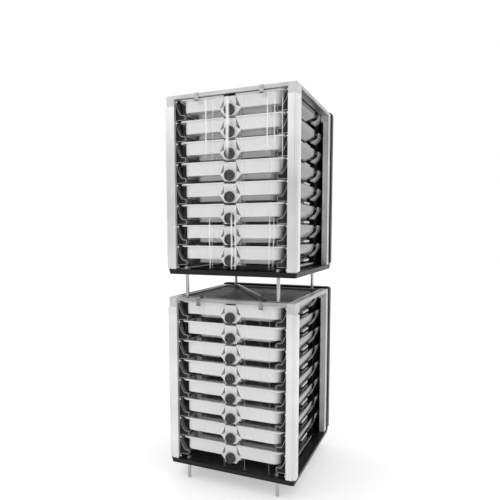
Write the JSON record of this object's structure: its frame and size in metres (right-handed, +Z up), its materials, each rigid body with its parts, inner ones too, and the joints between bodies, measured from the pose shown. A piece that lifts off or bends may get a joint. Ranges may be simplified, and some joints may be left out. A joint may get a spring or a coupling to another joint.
{
  "type": "egg incubator",
  "caption": "Vertical-flow fish egg incubator: two stacked open-front cabinets of sliding trays on slim legs, each with a clear hanging front sheet.",
  "frame": {"origin": "on the floor under the middle of the object", "axes": "+Z up, X across the front, -Y towards the user at the tray fronts"},
  "size_m": [0.627, 0.6379, 1.783],
  "materials": {
    "aluminium": "satin anodised",
    "black_moulding": "moulded, slight sheen",
    "black_sheet": "glossy folded sheet",
    "dark_cover": "glossy",
    "tray_plastic": "moulded, satin",
    "plug_plastic": "matt",
    "steel_rod": "bright rod",
    "bright_steel": "bright",
    "clear_sheet": "clear limp vinyl"
  },
  "bodies": {
    "frame": {"lower_base_pan": "black_moulding", "lower_front_posts": "aluminium", "lower_rear_posts": "aluminium", "lower_corner_blocks": "aluminium", "lower_top_rails": "aluminium", "lower_legs": "steel_rod", "lower_left_runner": "black_sheet", "lower_right_runner": "black_sheet", "lower_rear_panel": "black_moulding", "lower_top_cover": "dark_cover", "lower_brace": "bright_steel", "lower_cover_clips": "bright_steel", "lower_fasteners": "bright_steel", "upper_base_pan": "black_moulding", "upper_front_posts": "aluminium", "upper_rear_posts": "aluminium", "upper_corner_blocks": "aluminium", "upper_top_rails": "aluminium", "upper_legs": "steel_rod", "upper_left_runner": "black_sheet", "upper_right_runner": "black_sheet", "upper_rear_panel": "black_moulding", "upper_top_cover": "dark_cover", "upper_brace": "bright_steel", "upper_cover_clips": "bright_steel", "upper_fasteners": "bright_steel"},
    "lower_front_cover": {"lower_front_cover": "clear_sheet"},
    "lower_tray_1": {"lower_tray_1": "tray_plastic"},
    "lower_drain_plug_1": {"lower_drain_plug_1": "plug_plastic"},
    "lower_tray_2": {"lower_tray_2": "tray_plastic"},
    "lower_drain_plug_2": {"lower_drain_plug_2": "plug_plastic"},
    "lower_tray_3": {"lower_tray_3": "tray_plastic"},
    "lower_drain_plug_3": {"lower_drain_plug_3": "plug_plastic"},
    "lower_tray_4": {"lower_tray_4": "tray_plastic"},
    "lower_drain_plug_4": {"lower_drain_plug_4": "plug_plastic"},
    "lower_tray_5": {"lower_tray_5": "tray_plastic"},
    "lower_drain_plug_5": {"lower_drain_plug_5": "plug_plastic"},
    "lower_tray_6": {"lower_tray_6": "tray_plastic"},
    "lower_drain_plug_6": {"lower_drain_plug_6": "plug_plastic"},
    "lower_tray_7": {"lower_tray_7": "tray_plastic"},
    "lower_drain_plug_7": {"lower_drain_plug_7": "plug_plastic"},
    "lower_tray_8": {"lower_tray_8": "tray_plastic"},
    "lower_drain_plug_8": {"lower_drain_plug_8": "plug_plastic"},
    "upper_front_cover": {"upper_front_cover": "clear_sheet"},
    "upper_tray_1": {"upper_tray_1": "tray_plastic"},
    "upper_drain_plug_1": {"upper_drain_plug_1": "plug_plastic"},
    "upper_tray_2": {"upper_tray_2": "tray_plastic"},
    "upper_drain_plug_2": {"upper_drain_plug_2": "plug_plastic"},
    "upper_tray_3": {"upper_tray_3": "tray_plastic"},
    "upper_drain_plug_3": {"upper_drain_plug_3": "plug_plastic"},
    "upper_tray_4": {"upper_tray_4": "tray_plastic"},
    "upper_drain_plug_4": {"upper_drain_plug_4": "plug_plastic"},
    "upper_tray_5": {"upper_tray_5": "tray_plastic"},
    "upper_drain_plug_5": {"upper_drain_plug_5": "plug_plastic"},
    "upper_tray_6": {"upper_tray_6": "tray_plastic"},
    "upper_drain_plug_6": {"upper_drain_plug_6": "plug_plastic"},
    "upper_tray_7": {"upper_tray_7": "tray_plastic"},
    "upper_drain_plug_7": {"upper_drain_plug_7": "plug_plastic"},
    "upper_tray_8": {"upper_tray_8": "tray_plastic"},
    "upper_drain_plug_8": {"upper_drain_plug_8": "plug_plastic"}
  },
  "joints": [
    {"name": "lower_cover_swing", "type": "hinge", "parent": "frame", "child": "lower_front_cover", "pos_m": [0.018, -0.31515, 0.838], "axis": [-1, 0, 0], "range_deg": [0, 90]},
    {"name": "lower_tray_1_slide", "type": "slide", "parent": "frame", "child": "lower_tray_1", "axis": [0, -1, 0], "range_m": [0, 0.4], "deforming": ["lower_front_cover"]},
    {"name": "lower_drain_plug_1_pull", "type": "slide", "parent": "lower_tray_1", "child": "lower_drain_plug_1", "axis": [0, -1, 0], "range_m": [0, 0.014]},
    {"name": "lower_tray_2_slide", "type": "slide", "parent": "frame", "child": "lower_tray_2", "axis": [0, -1, 0], "range_m": [0, 0.4]},
    {"name": "lower_drain_plug_2_pull", "type": "slide", "parent": "lower_tray_2", "child": "lower_drain_plug_2", "axis": [0, -1, 0], "range_m": [0, 0.014]},
    {"name": "lower_tray_3_slide", "type": "slide", "parent": "frame", "child": "lower_tray_3", "axis": [0, -1, 0], "range_m": [0, 0.4]},
    {"name": "lower_drain_plug_3_pull", "type": "slide", "parent": "lower_tray_3", "child": "lower_drain_plug_3", "axis": [0, -1, 0], "range_m": [0, 0.014]},
    {"name": "lower_tray_4_slide", "type": "slide", "parent": "frame", "child": "lower_tray_4", "axis": [0, -1, 0], "range_m": [0, 0.4]},
    {"name": "lower_drain_plug_4_pull", "type": "slide", "parent": "lower_tray_4", "child": "lower_drain_plug_4", "axis": [0, -1, 0], "range_m": [0, 0.014]},
    {"name": "lower_tray_5_slide", "type": "slide", "parent": "frame", "child": "lower_tray_5", "axis": [0, -1, 0], "range_m": [0, 0.4]},
    {"name": "lower_drain_plug_5_pull", "type": "slide", "parent": "lower_tray_5", "child": "lower_drain_plug_5", "axis": [0, -1, 0], "range_m": [0, 0.014]},
    {"name": "lower_tray_6_slide", "type": "slide", "parent": "frame", "child": "lower_tray_6", "axis": [0, -1, 0], "range_m": [0, 0.4]},
    {"name": "lower_drain_plug_6_pull", "type": "slide", "parent": "lower_tray_6", "child": "lower_drain_plug_6", "axis": [0, -1, 0], "range_m": [0, 0.014]},
    {"name": "lower_tray_7_slide", "type": "slide", "parent": "frame", "child": "lower_tray_7", "axis": [0, -1, 0], "range_m": [0, 0.4]},
    {"name": "lower_drain_plug_7_pull", "type": "slide", "parent": "lower_tray_7", "child": "lower_drain_plug_7", "axis": [0, -1, 0], "range_m": [0, 0.014]},
    {"name": "lower_tray_8_slide", "type": "slide", "parent": "frame", "child": "lower_tray_8", "axis": [0, -1, 0], "range_m": [0, 0.4]},
    {"name": "lower_drain_plug_8_pull", "type": "slide", "parent": "lower_tray_8", "child": "lower_drain_plug_8", "axis": [0, -1, 0], "range_m": [0, 0.014]},
    {"name": "upper_cover_swing", "type": "hinge", "parent": "frame", "child": "upper_front_cover", "pos_m": [0.018, -0.31515, 1.742], "axis": [-1, 0, 0], "range_deg": [0, 90]},
    {"name": "upper_tray_1_slide", "type": "slide", "parent": "frame", "child": "upper_tray_1", "axis": [0, -1, 0], "range_m": [0, 0.4], "deforming": ["upper_front_cover"]},
    {"name": "upper_drain_plug_1_pull", "type": "slide", "parent": "upper_tray_1", "child": "upper_drain_plug_1", "axis": [0, -1, 0], "range_m": [0, 0.014]},
    {"name": "upper_tray_2_slide", "type": "slide", "parent": "frame", "child": "upper_tray_2", "axis": [0, -1, 0], "range_m": [0, 0.4]},
    {"name": "upper_drain_plug_2_pull", "type": "slide", "parent": "upper_tray_2", "child": "upper_drain_plug_2", "axis": [0, -1, 0], "range_m": [0, 0.014]},
    {"name": "upper_tray_3_slide", "type": "slide", "parent": "frame", "child": "upper_tray_3", "axis": [0, -1, 0], "range_m": [0, 0.4]},
    {"name": "upper_drain_plug_3_pull", "type": "slide", "parent": "upper_tray_3", "child": "upper_drain_plug_3", "axis": [0, -1, 0], "range_m": [0, 0.014]},
    {"name": "upper_tray_4_slide", "type": "slide", "parent": "frame", "child": "upper_tray_4", "axis": [0, -1, 0], "range_m": [0, 0.4]},
    {"name": "upper_drain_plug_4_pull", "type": "slide", "parent": "upper_tray_4", "child": "upper_drain_plug_4", "axis": [0, -1, 0], "range_m": [0, 0.014]},
    {"name": "upper_tray_5_slide", "type": "slide", "parent": "frame", "child": "upper_tray_5", "axis": [0, -1, 0], "range_m": [0, 0.4]},
    {"name": "upper_drain_plug_5_pull", "type": "slide", "parent": "upper_tray_5", "child": "upper_drain_plug_5", "axis": [0, -1, 0], "range_m": [0, 0.014]},
    {"name": "upper_tray_6_slide", "type": "slide", "parent": "frame", "child": "upper_tray_6", "axis": [0, -1, 0], "range_m": [0, 0.4]},
    {"name": "upper_drain_plug_6_pull", "type": "slide", "parent": "upper_tray_6", "child": "upper_drain_plug_6", "axis": [0, -1, 0], "range_m": [0, 0.014]},
    {"name": "upper_tray_7_slide", "type": "slide", "parent": "frame", "child": "upper_tray_7", "axis": [0, -1, 0], "range_m": [0, 0.4]},
    {"name": "upper_drain_plug_7_pull", "type": "slide", "parent": "upper_tray_7", "child": "upper_drain_plug_7", "axis": [0, -1, 0], "range_m": [0, 0.014]},
    {"name": "upper_tray_8_slide", "type": "slide", "parent": "frame", "child": "upper_tray_8", "axis": [0, -1, 0], "range_m": [0, 0.4]},
    {"name": "upper_drain_plug_8_pull", "type": "slide", "parent": "upper_tray_8", "child": "upper_drain_plug_8", "axis": [0, -1, 0], "range_m": [0, 0.014]}
  ]
}
